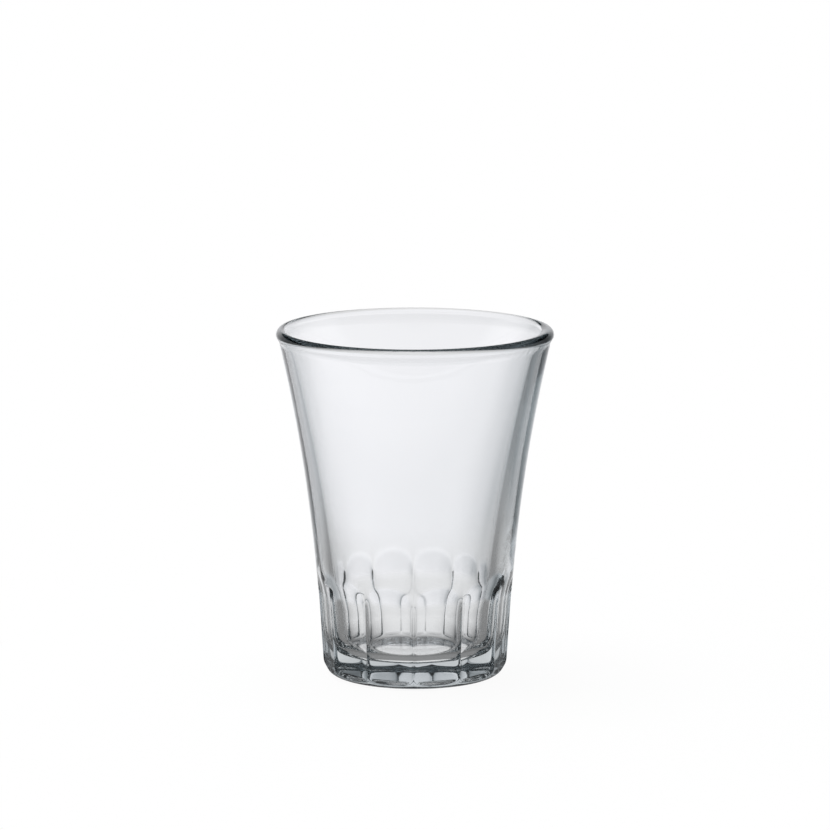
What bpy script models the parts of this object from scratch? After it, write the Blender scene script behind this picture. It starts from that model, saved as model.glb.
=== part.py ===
"""Espresso glass: one pressed piece of clear, tempered soda-lime glass.

A round tumbler that flares from a heavy foot to a fire-polished lip. Twelve panels are pressed into the
outside of the foot. Each panel is flat across its middle and curls up to a narrow ridge at either side.
The panels run out in low arches at the top and into the round bottom edge below.
Units are metres, +Z is up, and the origin is the middle of the foot, on the surface it stands on.
"""

import math

import bmesh
import bpy

MM = 0.001

# Overall sizes
height = 76.0 * MM
rim_diameter = 60.0 * MM
foot_diameter = 39.8 * MM  # where the tapered foot wall would meet the table

# Outside wall: a straight taper at the foot, then a flare that grows steadily up to the lip
foot_taper = 0.065  # radius gained for each unit of height
flare_start = 17.0 * MM
lip_thickness = 2.5 * MM
lip_proud = 0.30 * MM  # how far the lip stands out past the wall under it
seam_drop = 2.3 * MM  # from the top of the lip down to the mould seam under it
bottom_edge_radius = 3.8 * MM

# Cavity: the wall thickens evenly from the lip to the table
wall_at_rim = 2.30 * MM
wall_at_foot = 4.80 * MM
lip_blend = 6.0 * MM  # height over which the inside of the lip runs into the wall
floor_thickness = 5.0 * MM  # at the middle of the cavity floor
floor_dish = 0.3 * MM  # how much the floor rises from its middle to its corner
cavity_corner_radius = 5.0 * MM

# Underside: a flat ring to stand on, round a shallow recess
recess_diameter = 25.0 * MM
recess_depth = 0.8 * MM
recess_edge_width = 1.2 * MM

# Panels round the foot
panel_count = 12
panel_shoulder = 16.4 * MM  # height at which a panel starts to run out to the round wall
arch_radius = 14.0 * MM  # of the hollow curve by which it runs out
ridge_height = 0.44 * MM  # of the ridges over the flat middle of a panel
ridge_narrowness = 9  # the higher, the closer to its ridges a panel stays flat
ridge_foot = 0.2 * MM  # where the ridges start to stand up
ridge_full = 2.0 * MM  # where they have their whole height
ridge_inset = 0.03 * MM  # how far they lie inside the round wall
polish = 0.3 * MM  # softness that fire-polishing gives to ridges and arches

# Fineness of the mesh
turns_per_panel = 8
ridge_crowding = 0.75  # 0 spaces the turns evenly, 1 crowds them at the ridges
lip_points = 16  # steps of 15 degrees, so that the top and the widest point are both on the mesh
wall_points = 7
arch_points = 9
panel_points = 8
corner_points = 6

rim_radius = rim_diameter / 2
foot_radius = foot_diameter / 2
lip_radius = lip_thickness / 2
lip_middle_height = height - lip_radius
half_panel = math.pi / panel_count


def outer_radius(z):
    """Radius of the round outside wall at height z, before the panels."""
    tapered = foot_radius + foot_taper * z
    flare = rim_radius - lip_proud - (foot_radius + foot_taper * lip_middle_height)
    share = max(0.0, (z - flare_start) / (lip_middle_height - flare_start))
    return tapered + flare * share ** 2


def inner_radius(z):
    """Radius of the cavity at height z, above its corner."""
    wall = wall_at_foot + (wall_at_rim - wall_at_foot) * z / height
    return outer_radius(z) - wall


def smooth_step(value, first, last):
    """Rise smoothly from 0 to 1 between two values."""
    share = min(1.0, max(0.0, (value - first) / (last - first)))
    return share * share * (3 - 2 * share)


def panel_radius(z, angle):
    """Radius of a panel's surface at height z, at an angle from the middle of the panel."""
    ridge_radius = outer_radius(z) - ridge_inset
    curl = ridge_height * smooth_step(z, ridge_foot, ridge_full)
    half_width = ridge_radius * math.sin(half_panel)
    middle = ridge_radius * math.cos(half_panel) - curl
    distance = middle
    for _ in range(20):
        share = min(1.0, math.tan(angle) * distance / half_width)
        distance = middle + curl * share ** ridge_narrowness
    run_out = max(0.0, z - panel_shoulder) ** 2 / (2 * arch_radius)
    return distance / math.cos(angle) + run_out


def softly_lower(first, second):
    """The lower of two radii, with the edge between them rounded over."""
    return (first + second - math.hypot(first - second, polish)) / 2


def steps(first, last, count):
    """Evenly spaced values, both ends included."""
    return [first + (last - first) * i / (count - 1) for i in range(count)]


def arc(middle_r, middle_z, radius, first_degrees, last_degrees, count):
    """Points of an arc in the plane of the profile, by angle from the +r direction."""
    angles = [math.radians(a) for a in steps(first_degrees, last_degrees, count)]
    return [(middle_r + radius * math.cos(a), middle_z + radius * math.sin(a)) for a in angles]


def cavity_profile():
    """Middle of the floor, out to the corner, and up the inside wall to the lip."""
    corner_floor = floor_thickness + floor_dish
    corner_middle_z = corner_floor + cavity_corner_radius
    corner_middle_r = inner_radius(corner_middle_z) - cavity_corner_radius
    floor = [
        (0.0, floor_thickness),
        (corner_middle_r / 2, floor_thickness + floor_dish / 4),
    ]
    corner = arc(corner_middle_r, corner_middle_z, cavity_corner_radius, -90, -8, corner_points)
    wall_heights = steps(corner_middle_z + MM, height - lip_blend, wall_points)
    wall = [(inner_radius(z), z) for z in wall_heights]
    return floor + corner + wall


def lip_profile():
    """Over the round lip, from its inside to its outside."""
    middle_r = rim_radius - lip_radius
    return arc(middle_r, lip_middle_height, lip_radius, 195, -30, lip_points)


def outside_profile():
    """Down the outside wall from the seam under the lip, and round the bottom edge to the table."""
    edge_middle_z = bottom_edge_radius
    edge_middle_r = outer_radius(edge_middle_z) - bottom_edge_radius
    deepest = outer_radius(panel_shoulder) * (1 - math.cos(half_panel)) + ridge_height
    arch_top = panel_shoulder + 1.15 * math.sqrt(2 * arch_radius * deepest)
    heights = steps(height - seam_drop, arch_top, wall_points)
    heights += steps(arch_top, panel_shoulder, arch_points)[1:]
    heights += steps(panel_shoulder, edge_middle_z, panel_points)[1:-1]
    wall = [(outer_radius(z), z) for z in heights]
    return wall + arc(edge_middle_r, edge_middle_z, bottom_edge_radius, 0, -90, corner_points)


def underside_profile():
    """In from the ring that the glass stands on to the middle of the recess."""
    recess_radius = recess_diameter / 2
    return [
        (recess_radius, 0.0),
        (recess_radius - recess_edge_width, recess_depth * 0.8),
        (recess_radius / 2, recess_depth * 0.95),
        (0.0, recess_depth),
    ]


def turned(profiles, turn_steps):
    """Turn profiles of (radius, height) points, joined end to end, once round the Z axis.

    Each point remembers which of the profiles it came from, in a vertex layer.
    """
    shape = bmesh.new()
    section = shape.verts.layers.int.new("section")
    points = []
    for number, profile in enumerate(profiles):
        for r, z in profile:
            point = shape.verts.new((r, 0.0, z))
            point[section] = number
            points.append(point)
    lines = [shape.edges.new(pair) for pair in zip(points, points[1:])]
    bmesh.ops.spin(
        shape,
        geom=points + lines,
        cent=(0.0, 0.0, 0.0),
        axis=(0.0, 0.0, 1.0),
        angle=2 * math.pi,
        steps=turn_steps,
        use_merge=True,
    )
    bmesh.ops.remove_doubles(shape, verts=shape.verts, dist=0.001 * MM)
    return shape, section


def press_panels(shape, section, pressed_section):
    """Crowd the turns towards the ridges, then sink the panels into one section of the wall."""
    for point in shape.verts:
        x, y, z = point.co
        radius = math.hypot(x, y)
        if radius == 0.0:
            continue
        turn = math.atan2(y, x) / (2 * half_panel)
        panel_middle = math.floor(turn) + 0.5
        share = 2 * (turn - panel_middle)
        share += ridge_crowding * math.sin(math.pi * share) / math.pi
        if point[section] == pressed_section:
            radius = softly_lower(radius, panel_radius(z, abs(share) * half_panel))
        angle = (2 * panel_middle + share) * half_panel
        point.co = (radius * math.cos(angle), radius * math.sin(angle), z)


def clear_glass():
    """Clear soda-lime glass with its faint grey-green tint."""
    material = bpy.data.materials.new("clear_glass")
    material.use_nodes = True
    shader = material.node_tree.nodes["Principled BSDF"]
    shader.inputs["Base Color"].default_value = (0.93, 0.96, 0.95, 1.0)
    shader.inputs["Metallic"].default_value = 0.0
    shader.inputs["Roughness"].default_value = 0.02
    shader.inputs["IOR"].default_value = 1.52
    shader.inputs["Transmission Weight"].default_value = 1.0
    return material


for old in list(bpy.data.objects):
    bpy.data.objects.remove(old, do_unlink=True)

# The glass is turned whole, cavity and all, with a ridge towards +X; the panels are pressed in after
glass_shape, glass_section = turned(
    [cavity_profile(), lip_profile(), outside_profile(), underside_profile()],
    panel_count * turns_per_panel,
)
press_panels(glass_shape, glass_section, 2)
bmesh.ops.recalc_face_normals(glass_shape, faces=glass_shape.faces)
for face in glass_shape.faces:
    face.smooth = True

glass_mesh = bpy.data.meshes.new("pressed_glass")
glass_shape.to_mesh(glass_mesh)
glass_shape.free()
glass_mesh.materials.append(clear_glass())
glass = bpy.data.objects.new("pressed_glass", glass_mesh)
bpy.context.scene.collection.objects.link(glass)
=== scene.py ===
import math

import bpy
import numpy as np
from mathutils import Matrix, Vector


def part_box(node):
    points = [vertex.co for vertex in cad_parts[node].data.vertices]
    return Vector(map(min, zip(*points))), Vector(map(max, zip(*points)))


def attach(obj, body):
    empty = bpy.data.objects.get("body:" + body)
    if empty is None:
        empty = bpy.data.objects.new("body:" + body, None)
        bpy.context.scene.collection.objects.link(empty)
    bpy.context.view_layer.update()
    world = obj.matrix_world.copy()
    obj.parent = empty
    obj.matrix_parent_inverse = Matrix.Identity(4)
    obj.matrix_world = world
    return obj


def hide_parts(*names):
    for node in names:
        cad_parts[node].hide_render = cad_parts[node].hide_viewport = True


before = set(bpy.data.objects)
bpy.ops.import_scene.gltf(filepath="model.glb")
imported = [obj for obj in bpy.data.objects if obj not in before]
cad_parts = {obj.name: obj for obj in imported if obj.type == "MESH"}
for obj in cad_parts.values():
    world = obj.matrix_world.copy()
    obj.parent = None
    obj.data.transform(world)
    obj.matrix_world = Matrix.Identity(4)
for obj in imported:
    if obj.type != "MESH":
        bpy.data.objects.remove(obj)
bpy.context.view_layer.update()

# The glass: one gob of clear soda-lime glass, pressed between a mould and a plunger, then fire-polished
# and tempered. The mould gives the outside, the plunger gives the cavity, and the rim is melted round.
# First comes the shape as turned, with no panels yet.
mm = 0.001
glass_low, glass_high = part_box("pressed_glass")
glass_height = glass_high.z
rim_radius = (glass_high.x - glass_low.x) / 2

foot_radius = 19.9 * mm  # where the tapered foot wall would meet the table
foot_taper = 0.065  # radius gained for each unit of height
flare_start = 17.0 * mm
lip_radius = 1.3 * mm
lip_proud = 0.30 * mm  # how far the lip stands out past the wall under it
lip_inside = 165  # degrees round the lip, from straight out, where the cavity wall runs into it
lip_outside = -32  # and where it ends over the mould seam
lip_middle = glass_height - lip_radius
seam_drop = 2.55 * mm  # from the top of the lip down to the mould seam

wall_at_rim = 2.30 * mm
wall_at_foot = 4.80 * mm
lip_blend_from = 60.0 * mm  # from here up the inside of the wall runs into the lip
floor_height = 5.0 * mm
floor_dish = 0.3 * mm
cavity_corner = 5.0 * mm

bottom_edge = 3.8 * mm
recess_radius = 12.5 * mm
recess_depth = 0.8 * mm
recess_edge = 1.2 * mm

panel_shoulder = 16.4 * mm  # height at which a panel starts to run out to the round wall
arch_top = 26.5 * mm  # over the highest point of the panels


def smooth_step(value, first, last):
    share = np.clip((value - first) / (last - first), 0.0, 1.0)
    return share * share * (3 - 2 * share)


def outer_radius(z):
    tapered = foot_radius + foot_taper * z
    flare = rim_radius - lip_proud - (foot_radius + foot_taper * lip_middle)
    share = np.maximum(0.0, (z - flare_start) / (lip_middle - flare_start))
    return tapered + flare * share ** 2


def even_wall_radius(z):
    return outer_radius(z) - wall_at_foot - (wall_at_rim - wall_at_foot) * z / glass_height


lip_start_r = rim_radius - lip_radius + lip_radius * math.cos(math.radians(lip_inside))
lip_start_z = lip_middle + lip_radius * math.sin(math.radians(lip_inside))


def inner_radius(z):
    blend = lip_start_r - even_wall_radius(lip_start_z)
    return even_wall_radius(z) + blend * smooth_step(z, lip_blend_from, lip_start_z)


def arc(middle_r, middle_z, radius, degrees, count):
    angles = np.radians(np.linspace(*degrees, count))
    return list(zip(middle_r + radius * np.cos(angles), middle_z + radius * np.sin(angles)))


def wall(radius_at, heights, count):
    return [(radius_at(z), z) for z in np.linspace(*heights, count)]


# Each stretch of wall keeps a step clear of the stretches beside it, so that no two rows meet
corner_step = 0.8 * mm
blend_step = 1.0 * mm
lip_step = 0.35 * mm
arch_step = 0.5 * mm
shoulder_step = 1.2 * mm
edge_step = 0.5 * mm

corner_z = floor_height + floor_dish + cavity_corner
corner_r = inner_radius(corner_z) - cavity_corner
floor_end = 0.94  # the share of the way to the corner that the floor's own points take up
cavity_line = [(corner_r * s, floor_height + floor_dish * s * s) for s in np.linspace(0, floor_end, 8)]
cavity_line += arc(corner_r, corner_z, cavity_corner, degrees=(-90, -7), count=16)
cavity_line += wall(inner_radius, heights=(corner_z + corner_step, lip_blend_from), count=9)
cavity_line += wall(inner_radius, heights=(lip_blend_from + blend_step, lip_start_z - lip_step), count=9)

lip_line = arc(rim_radius - lip_radius, lip_middle, lip_radius, degrees=(lip_inside, lip_outside), count=24)

seam_z = glass_height - seam_drop
under_seam_z = glass_height - 2 * seam_drop  # down to here the rows are close enough for the seam's bead
plain_wall_z = glass_height - 2.6 * seam_drop
edge_r = outer_radius(bottom_edge) - bottom_edge
outside_line = wall(outer_radius, heights=(seam_z, under_seam_z), count=10)
outside_line += wall(outer_radius, heights=(plain_wall_z, arch_top + arch_step), count=10)
outside_line += wall(outer_radius, heights=(arch_top, panel_shoulder), count=24)
panel_heights = (panel_shoulder - shoulder_step, bottom_edge + edge_step)
outside_line += wall(outer_radius, heights=panel_heights, count=12)
outside_line += arc(edge_r, bottom_edge, bottom_edge, degrees=(2, -90), count=20)

ring_start, ring_end = 0.06, 0.95  # shares of the way from the bottom edge in to the recess
ring_line = [(edge_r + (recess_radius - edge_r) * s, 0.0) for s in np.linspace(ring_start, ring_end, 12)]

recess_line = []
for s in np.linspace(0, 1, 9):
    recess_line.append((recess_radius - recess_edge * s, recess_depth * smooth_step(s, 0, 1)))
for s in (0.7, 0.4, 0.1, 0.0):
    recess_line.append(((recess_radius - recess_edge) * s, recess_depth))

bpy.ops.object.select_all(action="DESELECT")
bpy.ops.mesh.primitive_plane_add(size=mm)
glass = bpy.context.object
glass.name = glass.data.name = "glass"
bpy.ops.object.mode_set(mode="EDIT")
bpy.ops.mesh.select_all(action="SELECT")
bpy.ops.mesh.merge(type="CENTER")
bpy.ops.transform.translate(value=(0, 0, floor_height))
lines = {"cavity": cavity_line, "lip": lip_line, "outside": outside_line, "ring": ring_line,
         "recess": recess_line}
turned_line = sum(lines.values(), [])
for (r, z), (next_r, next_z) in zip(turned_line, turned_line[1:]):
    bpy.ops.mesh.extrude_vertices_move(
        TRANSFORM_OT_translate={"value": (next_r - r, 0, next_z - z)}
    )
bpy.ops.object.mode_set(mode="OBJECT")
first = 0
for name, line in lines.items():
    stretch = glass.vertex_groups.new(name=name)
    stretch.add(list(range(first, first + len(line))), 1.0, "REPLACE")
    first += len(line)

panel_count = 12
turns_per_panel = 48
bpy.ops.object.mode_set(mode="EDIT")
bpy.ops.mesh.select_all(action="SELECT")
bpy.ops.mesh.spin(
    steps=panel_count * turns_per_panel,
    angle=2 * math.pi,
    center=(0, 0, 0),
    axis=(0, 0, 1),
    use_auto_merge=True,
)
bpy.ops.mesh.select_all(action="SELECT")
bpy.ops.mesh.remove_doubles(threshold=0.001 * mm)
bpy.ops.mesh.normals_make_consistent(inside=False)
bpy.ops.object.mode_set(mode="OBJECT")

# The panels: twelve hollows pressed into the outside of the foot by ribs in the mould. Each is flat across
# its middle, curls up to a narrow ridge at either side and runs out in a low arch. No operator presses
# such a hollow, so the turned points are moved to it in code.
half_panel = math.pi / panel_count
ridge_crowding = 0.6  # 0 spaces the turns evenly, 1 crowds them at the ridges
ridge_height = 0.44 * mm
ridge_narrowness = 9  # the higher, the closer to its ridges a panel stays flat
ridge_foot = 0.2 * mm  # where the ridges start to stand up
ridge_full = 2.0 * mm  # where they have their whole height
ridge_inset = 0.03 * mm  # how far they lie inside the round wall
curl_rounds = 20  # more than enough for the curl to settle
arch_radius = 14.0 * mm
polish = 0.3 * mm  # softness that fire-polishing gives to the ridges
arch_polish = 0.40 * mm  # the arches come out softer
polish_change = 5.0 * mm  # the height over which the one becomes the other


def panel_radius(z, angle):
    ridge_radius = outer_radius(z) - ridge_inset
    curl = ridge_height * smooth_step(z, ridge_foot, ridge_full)
    half_width = ridge_radius * math.sin(half_panel)
    middle = ridge_radius * math.cos(half_panel) - curl
    distance = middle
    for _ in range(curl_rounds):
        share = np.minimum(1.0, np.tan(angle) * distance / half_width)
        distance = middle + curl * share ** ridge_narrowness
    run_out = np.maximum(0.0, z - panel_shoulder) ** 2 / (2 * arch_radius)
    return distance / np.cos(angle) + run_out


stretch_of = np.array([point.groups[0].group for point in glass.data.vertices])


def members(name):
    return stretch_of == glass.vertex_groups[name].index


points = np.zeros(len(glass.data.vertices) * 3)
glass.data.vertices.foreach_get("co", points)
x, y, z = points.reshape(-1, 3).T
radius = np.hypot(x, y)
turn = np.arctan2(y, x) / (2 * half_panel)
panel_middle = np.floor(turn) + 0.5
across = 2 * (turn - panel_middle)
across += ridge_crowding * np.sin(math.pi * across) / math.pi
angle = (2 * panel_middle + across) * half_panel
pressed = panel_radius(z, np.abs(across) * half_panel)
arch_share = smooth_step(z, panel_shoulder, panel_shoulder + polish_change)
softness = polish + (arch_polish - polish) * arch_share
pressed = (radius + pressed - np.hypot(radius - pressed, softness)) / 2
radius = np.where(members("outside"), pressed, radius)

# The mould seam: the ring that shapes the rim meets the body mould under the lip, and the glass creeps into
# the joint. Fire-polishing leaves a faint bead all round, a little ragged at the right.
seam_bead = 0.05 * mm
seam_width = 0.45 * mm
seam_ragged_at = math.radians(-38)
seam_ragged_over = math.radians(24)
seam_wander = 0.10 * mm  # how far it strays up and down where it is ragged
seam_swell = 0.5  # and the share by which it grows and shrinks there
# strength, waves in a full turn, and the waves and start of the beat that breaks them up
seam_ripples = [(1.0, 53, 31, 1.3), (0.6, 137, 19, 0.4)]

ragged = np.zeros(len(angle))
for strength, waves, beats, start in seam_ripples:
    ragged += strength * np.sin(waves * angle) * np.sin(beats * angle + start)
ragged *= np.exp(-((angle - seam_ragged_at) / seam_ragged_over) ** 2)
seam_height = seam_z + seam_wander * ragged
bead = seam_bead * (1 + seam_swell * ragged) * np.exp(-((z - seam_height) / seam_width) ** 2)
radius += np.where(members("outside") | members("lip"), bead, 0.0)
x = radius * np.cos(angle)
y = radius * np.sin(angle)

# The cavity: the plunger went in a little off the mould's axis and a little out of true, to the left and
# towards the camera, as it often does on pressed glass. The lip, melted round afterwards, evens this out.
plunger_left = 0.65 * mm
plunger_forward = 0.50 * mm
left_lost = 0.45  # the share of each that is lost on the way up to the rim
forward_lost = 0.6

over_lip = smooth_step(rim_radius - radius, 0.0, 2 * lip_radius)
follows = np.where(members("cavity"), 1.0, np.where(members("lip"), over_lip, 0.0))
x -= follows * plunger_left * (1 - left_lost * z / glass_height)
y -= follows * plunger_forward * (1 - forward_lost * z / glass_height)

# The standing ring: the mould stipples the flat under the foot, so that the glass keeps a grip on a wet
# table and its scratches don't show.
stipple_depth = 0.03 * mm
stipple_seed = 12
stipple = np.random.default_rng(stipple_seed).random(len(z))
z = z + np.where(members("ring"), stipple_depth * stipple, 0.0)

points = np.stack([x, y, z], axis=1)
glass.data.vertices.foreach_set("co", points.ravel())
glass.data.update()
glass.vertex_groups.clear()
glass.data.shade_smooth()

# The finish: clear glass, which dims light that goes a long way through it, and red light the most. The
# flame that polished it left its faces waving by about a hundredth of a millimetre, and the mould left a
# fine grain on the face under the foot.
grain_full = 0.9 * mm  # up to this height the grain is whole
grain_gone = 1.2 * mm


def add_node(tree, kind, **settings):
    node = tree.nodes.new(kind)
    for setting, value in settings.items():
        setattr(node, setting, value)
    return node


def join(source, output, target, socket):
    source.id_data.links.new(source.outputs[output], target.inputs[socket])


glass_finish = bpy.data.materials.new("clear_glass")
glass_finish.use_nodes = True
tree = glass_finish.node_tree
shader = tree.nodes["Principled BSDF"]
shader.inputs["Base Color"].default_value = (0.996, 0.996, 1.0, 1.0)
shader.inputs["Roughness"].default_value = 0.0
shader.inputs["IOR"].default_value = 1.52
shader.inputs["Transmission Weight"].default_value = 1.0
depth_tint = add_node(tree, "ShaderNodeVolumeAbsorption")
depth_tint.inputs["Color"].default_value = (0.0, 0.12, 0.17, 1.0)
depth_tint.inputs["Density"].default_value = 13.0
join(depth_tint, "Volume", tree.nodes["Material Output"], "Volume")

place = add_node(tree, "ShaderNodeTexCoord")
flame_waves = add_node(tree, "ShaderNodeTexNoise")
flame_waves.inputs["Scale"].default_value = 70.0
flame_waves.inputs["Detail"].default_value = 1.0
join(place, "Object", flame_waves, "Vector")
flame_polish = add_node(tree, "ShaderNodeBump")
flame_polish.inputs["Strength"].default_value = 0.05
flame_polish.inputs["Distance"].default_value = 0.4 * mm
join(flame_waves, "Fac", flame_polish, "Height")

place_parts = add_node(tree, "ShaderNodeSeparateXYZ")
join(place, "Object", place_parts, "Vector")
under_foot = add_node(tree, "ShaderNodeMapRange")
under_foot.inputs["From Min"].default_value = grain_gone
under_foot.inputs["From Max"].default_value = grain_full
join(place_parts, "Z", under_foot, "Value")
mould_grain = add_node(tree, "ShaderNodeTexNoise")
mould_grain.inputs["Scale"].default_value = 1200.0
mould_grain.inputs["Detail"].default_value = 1.0
join(place, "Object", mould_grain, "Vector")
mould_face = add_node(tree, "ShaderNodeBump")
mould_face.inputs["Distance"].default_value = 0.012 * mm
join(under_foot, "Result", mould_face, "Strength")
join(mould_grain, "Fac", mould_face, "Height")
join(flame_polish, "Normal", mould_face, "Normal")
join(mould_face, "Normal", shader, "Normal")
glass.data.materials.clear()
glass.data.materials.append(glass_finish)

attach(glass, "root")
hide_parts("pressed_glass")

# The floor: a pale round table top that fades into the white backdrop. The camera sees it white, with the
# soft shadow of the glass.
# Through the glass it shows painted light and shade, a glow that no lamp gives: brighter behind the glass
# and well in front of it, painted shade at the sides, and a painted shadow, dark, where the foot stands on
# it.
floor_radius = 150.0 * mm
floor_drop = 0.02 * mm  # a hair under the foot, so that the two faces don't fight
floor_white_share = 0.95
fade_start, fade_end = 0.55, 0.98  # shares of the floor's radius
back_start = 0.55  # how far round to the back the back's brightness starts: 0 at the sides, 1 at the back
front_start, front_end = -0.2, -0.65  # and the front's, on the same scale
# distance from the middle of the glass in millimetres, and the painted brightness there
floor_back_levels = [
    (0, 0.95), (10.3, 0.95), (11.6, 0.30), (12.8, 0.08), (16.4, 0.08), (17.8, 0.30), (20.0, 0.66),
    (22.5, 0.90), (35, 0.93), (57, 0.86), (87, 0.85), (150, 0.87),
]
# the painted shadow under the foot: dark under the standing ring, light under the recess
foot_painted_shadow = [(0, 0.95), (10.3, 0.95), (11.6, 0.34), (12.8, 0.28), (16.2, 0.28), (17.8, 0.20)]
floor_side_levels = foot_painted_shadow + [(20.0, 0.20), (22.5, 0.22), (50, 0.25), (150, 0.30)]
floor_front_levels = foot_painted_shadow + [(22.5, 0.22), (40, 0.30), (75, 0.78), (150, 0.82)]

bpy.ops.object.select_all(action="DESELECT")
bpy.ops.mesh.primitive_circle_add(vertices=128, radius=floor_radius, fill_type="NGON")
floor = bpy.context.object
floor.name = floor.data.name = "floor"
bpy.ops.object.mode_set(mode="EDIT")
bpy.ops.mesh.select_all(action="SELECT")
bpy.ops.transform.translate(value=(0, 0, -floor_drop))
bpy.ops.object.mode_set(mode="OBJECT")

floor_finish = bpy.data.materials.new("pale_floor")
floor_finish.use_nodes = True
tree = floor_finish.node_tree
tree.nodes.clear()
floor_place = add_node(tree, "ShaderNodeTexCoord")
floor_distance = add_node(tree, "ShaderNodeVectorMath", operation="LENGTH")
join(floor_place, "Object", floor_distance, 0)
floor_share = add_node(tree, "ShaderNodeMapRange")
floor_share.inputs["From Max"].default_value = floor_radius
join(floor_distance, "Value", floor_share, "Value")


def add_level_ramp(tree, stops):
    ramp = add_node(tree, "ShaderNodeValToRGB")
    ramp.color_ramp.interpolation = "EASE"
    elements = ramp.color_ramp.elements
    elements[0].position, elements[1].position = stops[0][0], stops[-1][0]
    for position, _ in stops[1:-1]:
        elements.new(position)
    for element, (position, level) in zip(elements, stops):
        element.color = (level, level, level, 1.0)
    return ramp


def add_floor_rings(levels):
    rings = add_level_ramp(tree, [(distance * mm / floor_radius, level) for distance, level in levels])
    join(floor_share, "Result", rings, "Fac")
    return rings


floor_back = add_floor_rings(floor_back_levels)
floor_side = add_floor_rings(floor_side_levels)
floor_front = add_floor_rings(floor_front_levels)

floor_direction = add_node(tree, "ShaderNodeVectorMath", operation="NORMALIZE")
join(floor_place, "Object", floor_direction, 0)
floor_bearing = add_node(tree, "ShaderNodeSeparateXYZ")
join(floor_direction, "Vector", floor_bearing, "Vector")
towards_front = add_node(tree, "ShaderNodeMapRange")
towards_front.inputs["From Min"].default_value = front_start
towards_front.inputs["From Max"].default_value = front_end
join(floor_bearing, "Y", towards_front, "Value")
floor_off_back = add_node(tree, "ShaderNodeMix", data_type="RGBA")
join(towards_front, "Result", floor_off_back, "Factor")
join(floor_side, "Color", floor_off_back, "A")
join(floor_front, "Color", floor_off_back, "B")
towards_back = add_node(tree, "ShaderNodeMapRange")
towards_back.inputs["From Min"].default_value = back_start
join(floor_bearing, "Y", towards_back, "Value")
floor_painted_level = add_node(tree, "ShaderNodeMix", data_type="RGBA")
join(towards_back, "Result", floor_painted_level, "Factor")
join(floor_off_back, "Result", floor_painted_level, "A")
join(floor_back, "Color", floor_painted_level, "B")
# what the glass sees of the floor: a glow that carries this painted light, shade and shadow
floor_painted_glow = add_node(tree, "ShaderNodeEmission")
join(floor_painted_level, "Result", floor_painted_glow, "Color")

floor_paint = add_node(tree, "ShaderNodeBsdfDiffuse")
floor_paint.inputs["Color"].default_value = (0.92, 0.92, 0.92, 1.0)
floor_white = add_node(tree, "ShaderNodeEmission")
floor_to_camera = add_node(tree, "ShaderNodeMixShader")
floor_to_camera.inputs["Fac"].default_value = floor_white_share
join(floor_paint, "BSDF", floor_to_camera, 1)
join(floor_white, "Emission", floor_to_camera, 2)
floor_ray = add_node(tree, "ShaderNodeLightPath")
floor_top = add_node(tree, "ShaderNodeMixShader")
join(floor_ray, "Is Camera Ray", floor_top, "Fac")
join(floor_painted_glow, "Emission", floor_top, 1)
join(floor_to_camera, "Shader", floor_top, 2)

floor_fade = add_node(tree, "ShaderNodeMapRange", interpolation_type="SMOOTHSTEP")
floor_fade.inputs["From Min"].default_value = floor_radius * fade_start
floor_fade.inputs["From Max"].default_value = floor_radius * fade_end
join(floor_distance, "Value", floor_fade, "Value")
backdrop_beyond = add_node(tree, "ShaderNodeBsdfTransparent")
floor_edge = add_node(tree, "ShaderNodeMixShader")
join(floor_fade, "Result", floor_edge, "Fac")
join(floor_top, "Shader", floor_edge, 1)
join(backdrop_beyond, "BSDF", floor_edge, 2)
floor_output = add_node(tree, "ShaderNodeOutputMaterial")
join(floor_edge, "Shader", floor_output, "Surface")
floor.data.materials.append(floor_finish)

# The studio: a bright backdrop low behind the glass, soft light low at either side and in front, dim gaps
# beside the backdrop and a dark room above, which draw the dark lip, edges and foot. The camera sees plain
# white behind it all.
# bearing in degrees, counted from +X towards +Y, and the brightness there
room_bearings = [
    (0, 0.85), (12, 0.78), (24, 0.55), (35, 0.48), (42, 0.38), (48, 0.26), (54, 0.24), (61, 0.36),
    (70, 0.58), (79, 0.82), (86, 0.95), (96, 1.0), (104, 0.98), (111, 0.86), (119, 0.69), (128, 0.50),
    (138, 0.45), (149, 0.55), (160, 0.74), (174, 0.95), (192, 0.85), (216, 0.80), (250, 0.75), (290, 0.75),
    (322, 0.78), (345, 0.82), (360, 0.85),
]
# height in degrees over the horizon, and the share of that brightness which is left there
room_heights = [
    (-90, 0.87), (-15, 0.87), (-12.7, 0.885), (-12.2, 0.92), (-11.3, 0.93), (-10.6, 0.885), (-9, 0.865),
    (-7, 0.845), (0, 0.84), (4, 0.88), (11, 0.86), (13.5, 0.78), (15.8, 0.04), (35, 0.04), (55, 0.08),
    (68, 0.45), (90, 0.5),
]
room_strength = 1.14
bright_tint = (0.987, 0.982, 1.0)
dim_tint = (0.91, 0.985, 1.03)
dim_level = 0.3  # the brightness at which the light has the dim tint

studio = bpy.data.worlds.new("studio")
bpy.context.scene.world = studio
studio.use_nodes = True
tree = studio.node_tree
tree.nodes.clear()
direction = add_node(tree, "ShaderNodeTexCoord")
direction_parts = add_node(tree, "ShaderNodeSeparateXYZ")
join(direction, "Generated", direction_parts, "Vector")
bearing = add_node(tree, "ShaderNodeMath", operation="ARCTAN2")
join(direction_parts, "Y", bearing, 0)
join(direction_parts, "X", bearing, 1)
bearing_turns = add_node(tree, "ShaderNodeMath", operation="DIVIDE")
bearing_turns.inputs[1].default_value = 2 * math.pi
join(bearing, "Value", bearing_turns, 0)
bearing_share = add_node(tree, "ShaderNodeMath", operation="FRACT")
join(bearing_turns, "Value", bearing_share, 0)
around = add_level_ramp(tree, [(degrees / 360, level) for degrees, level in room_bearings])
join(bearing_share, "Value", around, "Fac")
slope = add_node(tree, "ShaderNodeMath", operation="ARCSINE")
join(direction_parts, "Z", slope, 0)
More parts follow.
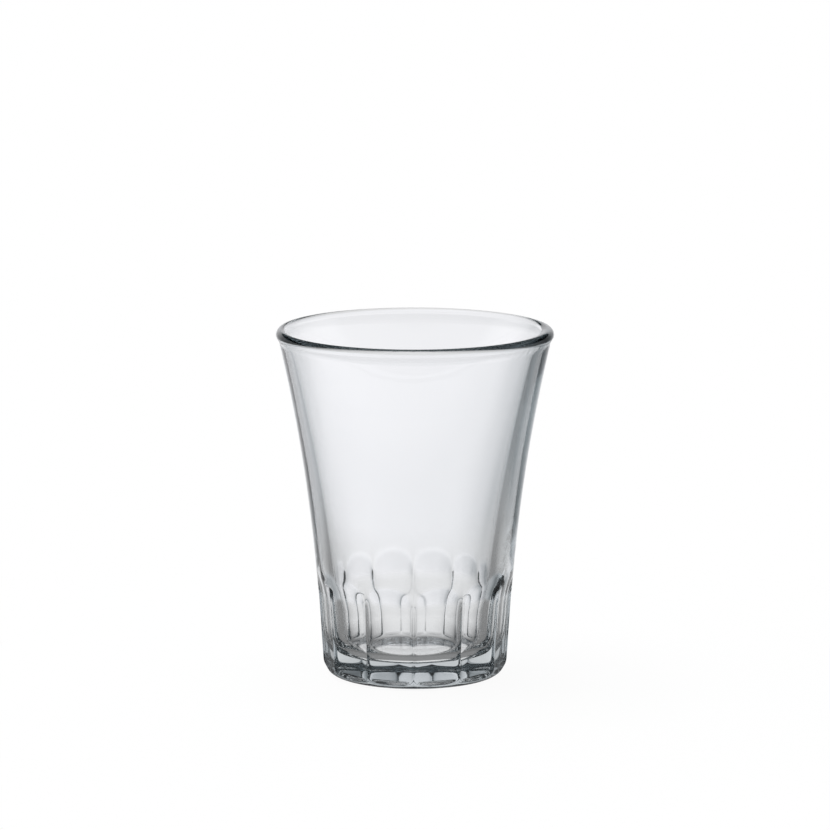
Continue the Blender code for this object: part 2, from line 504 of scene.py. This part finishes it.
slope_share = add_node(tree, "ShaderNodeMapRange")
slope_share.inputs["From Min"].default_value = -math.pi / 2
slope_share.inputs["From Max"].default_value = math.pi / 2
join(slope, "Value", slope_share, "Value")
upwards = add_level_ramp(tree, [((degrees + 90) / 180, level) for degrees, level in room_heights])
join(slope_share, "Result", upwards, "Fac")
room_level = add_node(tree, "ShaderNodeMath", operation="MULTIPLY")
join(around, "Color", room_level, 0)
join(upwards, "Color", room_level, 1)
room_tint = add_node(tree, "ShaderNodeValToRGB")
room_tint.color_ramp.elements[1].color = bright_tint + (1.0,)
room_tint.color_ramp.elements.new(dim_level).color = tuple(dim_level * part for part in dim_tint) + (1.0,)
join(room_level, "Value", room_tint, "Fac")
room = add_node(tree, "ShaderNodeBackground")
room.inputs["Strength"].default_value = room_strength
join(room_tint, "Color", room, "Color")
white_backdrop = add_node(tree, "ShaderNodeBackground")
white_backdrop.inputs["Color"].default_value = (1.0, 1.0, 1.0, 1.0)
room_ray = add_node(tree, "ShaderNodeLightPath")
studio_look = add_node(tree, "ShaderNodeMixShader")
join(room_ray, "Is Camera Ray", studio_look, "Fac")
join(room, "Background", studio_look, 1)
join(white_backdrop, "Background", studio_look, 2)
studio_output = add_node(tree, "ShaderNodeOutputWorld")
join(studio_look, "Shader", studio_output, "Surface")

# The lamp: one large soft box over the glass, which makes the shadow under it. It is left out of what shows
# in the glass and through it.
lamp_size = 0.9
lamp_power = 16.0
lamp_place = Vector((-0.2, 0.1, 1.2))
bpy.ops.object.light_add(type="AREA", location=lamp_place)
soft_box = bpy.context.object
soft_box.name = soft_box.data.name = "soft_box"
soft_box.data.size = lamp_size
soft_box.data.energy = lamp_power
soft_box.rotation_euler = (-lamp_place).to_track_quat("-Z", "Y").to_euler()
soft_box.visible_glossy = False
soft_box.visible_transmission = False

# The camera: a long lens a little over a metre away, looking down at about ten degrees. Light may bounce
# often enough inside the glass to find its way out of the thick foot and the lip.
camera_distance = 1.300
camera_height = 0.28453
camera_turn = math.radians(0.87)
camera_aim = Vector((0.0, 0.0, 0.05695))
image_width = 830
focal_pixels = 6100.9
sensor_width = 36.0
light_bounces = 48
bpy.ops.object.camera_add(
    location=(
        camera_distance * math.sin(camera_turn),
        -camera_distance * math.cos(camera_turn),
        camera_height,
    )
)
camera = bpy.context.object
camera.rotation_euler = (camera_aim - camera.location).to_track_quat("-Z", "Y").to_euler()
camera.data.sensor_width = sensor_width
camera.data.lens = focal_pixels / image_width * sensor_width
scene = bpy.context.scene
scene.camera = camera
scene.view_settings.view_transform = "Standard"
scene.cycles.max_bounces = light_bounces
scene.cycles.glossy_bounces = light_bounces
scene.cycles.transmission_bounces = light_bounces
scene.cycles.transparent_max_bounces = light_bounces
